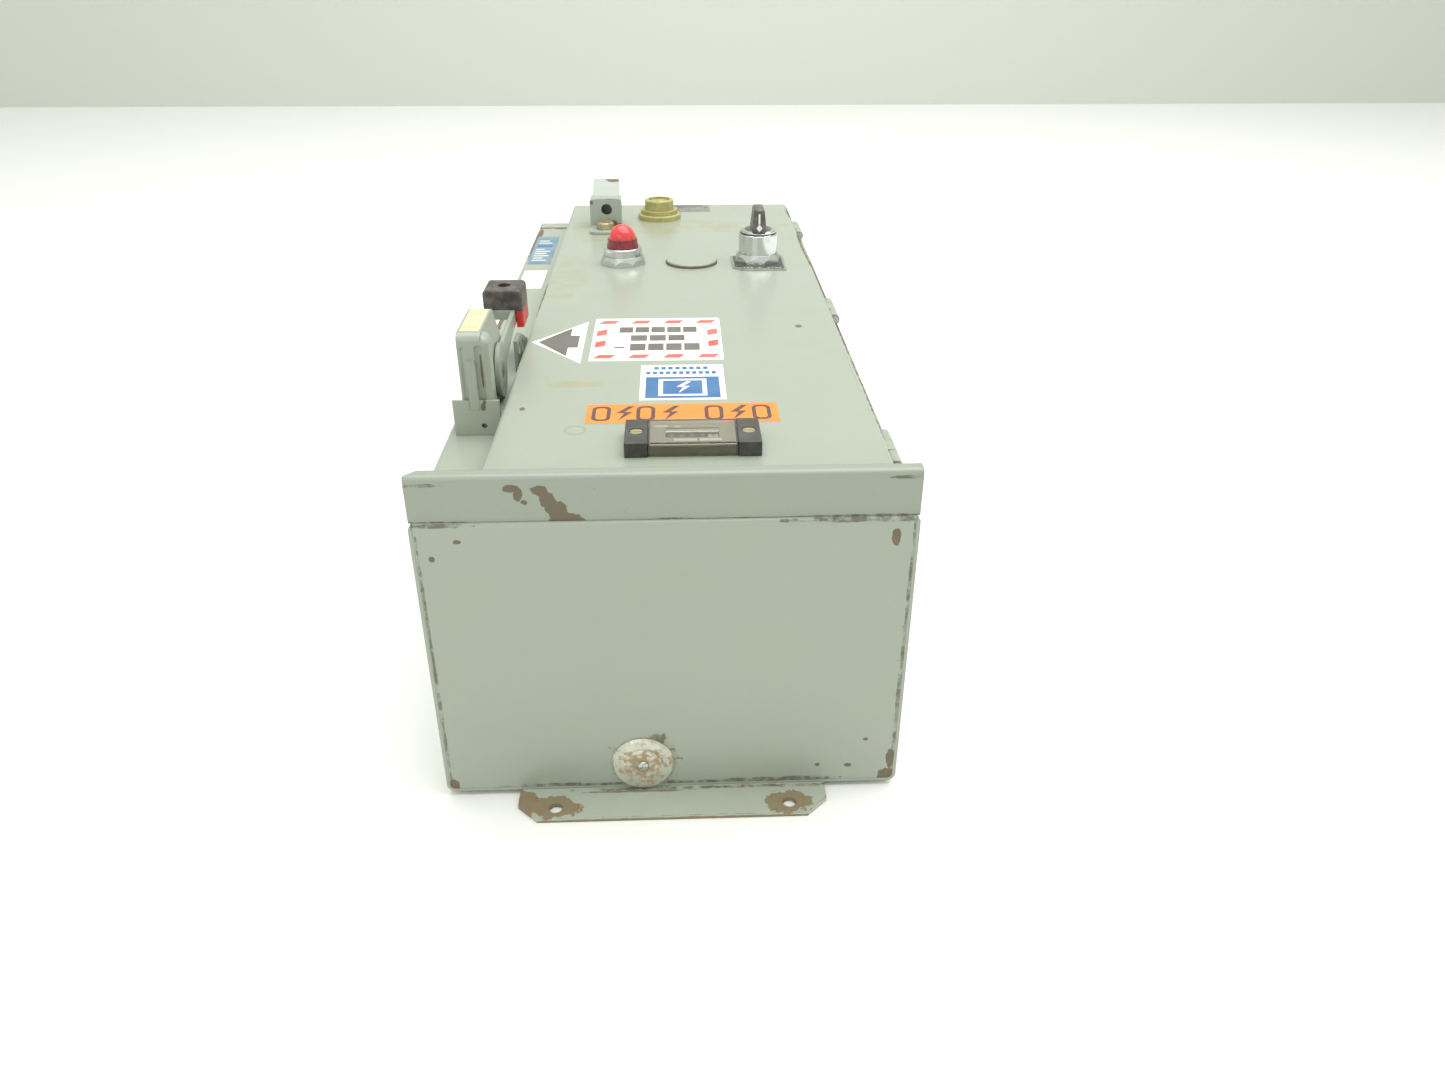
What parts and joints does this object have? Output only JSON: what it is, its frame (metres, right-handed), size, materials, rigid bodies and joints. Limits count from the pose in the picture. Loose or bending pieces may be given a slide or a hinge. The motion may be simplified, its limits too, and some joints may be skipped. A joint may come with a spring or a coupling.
{
  "type": "combination starter enclosure with fused isolator",
  "caption": "Wall-mounted steel control box with a hinged door, a flange handle that drives a fused three-pole isolator, door operators and a starter inside.",
  "frame": {"origin": "centre of the four wall-mounting holes, on the wall plane", "axes": "+Z out of the wall towards the door, +Y down the wall (long side), +X to the door's hinge side"},
  "size_m": [0.264, 0.716, 0.2444],
  "materials": {
    "paint": "glossy grey-green enamel",
    "cast_paint": "grey-green enamel on a casting",
    "zinc": "zinc plated, aged",
    "steel": "plated steel",
    "chrome": "satin chrome",
    "brass": "dull brass",
    "copper": "tinned copper",
    "black_plastic": "moulded",
    "brown_plastic": "moulded phenolic",
    "grip_plastic": "moulded, worn",
    "lens": "translucent red",
    "window": "smoked clear plastic",
    "olive_rubber": "aged rubber",
    "gasket": "neoprene",
    "fuse": "fibre tube with plated ferrules",
    "glass_bulb": "clear bulb on a metal cap",
    "white_plastic": "printed number wheel",
    "iron": "varnished laminations",
    "plate_metal": "thin printed plate"
  },
  "bodies": {
    "enclosure": {"enclosure_shell": "paint", "top_end_wall": "paint", "bottom_end_wall": "paint", "drip_hood": "paint", "mounting_feet": "paint", "conduit_plug_disc": "zinc", "conduit_plug_screw": "zinc", "conduit_plug_bar": "zinc", "box_hinge_leaves": "paint", "hinge_pins": "steel", "back_pan": "paint", "pan_studs": "steel", "handle_base": "paint", "handle_housing": "cast_paint", "switch_base": "brown_plastic", "switch_side_plates": "steel", "line_jaws": "copper", "blade_pivot_jaws": "copper", "fuse_block": "brown_plastic", "fuse_clips": "copper", "fuses": "fuse", "contactor_base": "black_plastic", "contactor_coil": "iron", "contactor_housing": "black_plastic", "overload_relay": "black_plastic", "control_transformer": "iron"},
    "lever": {"lever": "cast_paint", "lever_grip": "grip_plastic", "grip_screw": "brass", "pivot_shaft": "steel", "drive_crank": "steel"},
    "link": {"drive_link": "steel"},
    "rotor": {"switch_rotor": "brown_plastic", "switch_blades": "copper"},
    "armature": {"contactor_armature": "iron"},
    "relay_reset": {"overload_reset_pin": "lens"},
    "door": {"door_pan": "paint", "door_gasket": "gasket", "door_hinge_leaves": "paint", "latch_bracket": "paint", "operator_ring_nuts": "chrome", "pilot_body": "chrome", "pilot_lens": "lens", "pilot_bulb": "glass_bulb", "blank_plug": "paint", "selector_legend_plate": "plate_metal", "selector_body": "chrome", "selector_contact_block": "black_plastic", "reset_bezel": "olive_rubber", "reset_spring": "steel", "hour_meter_case": "black_plastic", "hour_meter_window": "window", "hour_meter_screws": "brass", "nameplate": "plate_metal"},
    "latch": {"latch_screw": "zinc", "latch_pawl": "steel"},
    "knob": {"selector_knob": "grip_plastic"},
    "reset": {"reset_button": "olive_rubber"},
    "fast_wheel": {"hour_meter_fast_wheel": "white_plastic"},
    "slow_wheels": {"hour_meter_slow_wheels": "white_plastic"}
  },
  "joints": [
    {"name": "door_hinge", "type": "hinge", "parent": "enclosure", "child": "door", "pos_m": [0.127, 0, 0.1865], "axis": [0, 1, 0], "range_deg": [0, 120]},
    {"name": "lever_pivot", "type": "hinge", "parent": "enclosure", "child": "lever", "pos_m": [0, -0.165, 0.202], "axis": [1, 0, 0], "range_deg": [0, 100]},
    {"name": "link_pivot", "type": "hinge", "parent": "lever", "child": "link", "pos_m": [0, -0.2033, 0.16986], "axis": [1, 0, 0], "range_deg": [-100, 0]},
    {"name": "rotor_turn", "type": "hinge", "parent": "enclosure", "child": "rotor", "pos_m": [0, -0.205, 0.094], "axis": [1, 0, 0], "range_deg": [0, 100]},
    {"name": "armature_pull", "type": "slide", "parent": "enclosure", "child": "armature", "axis": [0, 0, -1], "range_m": [0, 0.005], "stiffness_N_per_m": 1200, "springref_m": -0.004},
    {"name": "latch_turn", "type": "hinge", "parent": "door", "child": "latch", "pos_m": [-0.0585, 0.219, 0], "axis": [0, 0, 1], "range_deg": [0, 90]},
    {"name": "knob_turn", "type": "hinge", "parent": "door", "child": "knob", "pos_m": [0.0768, 0.1045, 0], "axis": [0, 0, 1], "range_deg": [-45, 45]},
    {"name": "reset_push", "type": "slide", "parent": "door", "child": "reset", "axis": [0, 0, -1], "range_m": [0, 0.004], "stiffness_N_per_m": 600, "springref_m": -0.003, "deforming": ["reset_spring"]},
    {"name": "relay_reset_push", "type": "slide", "parent": "enclosure", "child": "relay_reset", "axis": [0, 0, -1], "range_m": [0, 0.004]},
    {"name": "fast_wheel_turn", "type": "hinge", "parent": "door", "child": "fast_wheel", "pos_m": [0, -0.27695, 0.196], "axis": [1, 0, 0], "continuous": true},
    {"name": "slow_wheels_turn", "type": "hinge", "parent": "door", "child": "slow_wheels", "pos_m": [0, -0.27695, 0.196], "axis": [1, 0, 0], "continuous": true}
  ],
  "couplings": [
    {"joint": "link_pivot", "follows": "lever_pivot", "ratio": -1},
    {"joint": "rotor_turn", "follows": "lever_pivot", "ratio": 1},
    {"joint": "relay_reset_push", "follows": "reset_push", "ratio": 1},
    {"joint": "slow_wheels_turn", "follows": "fast_wheel_turn", "ratio": 0.1}
  ]
}
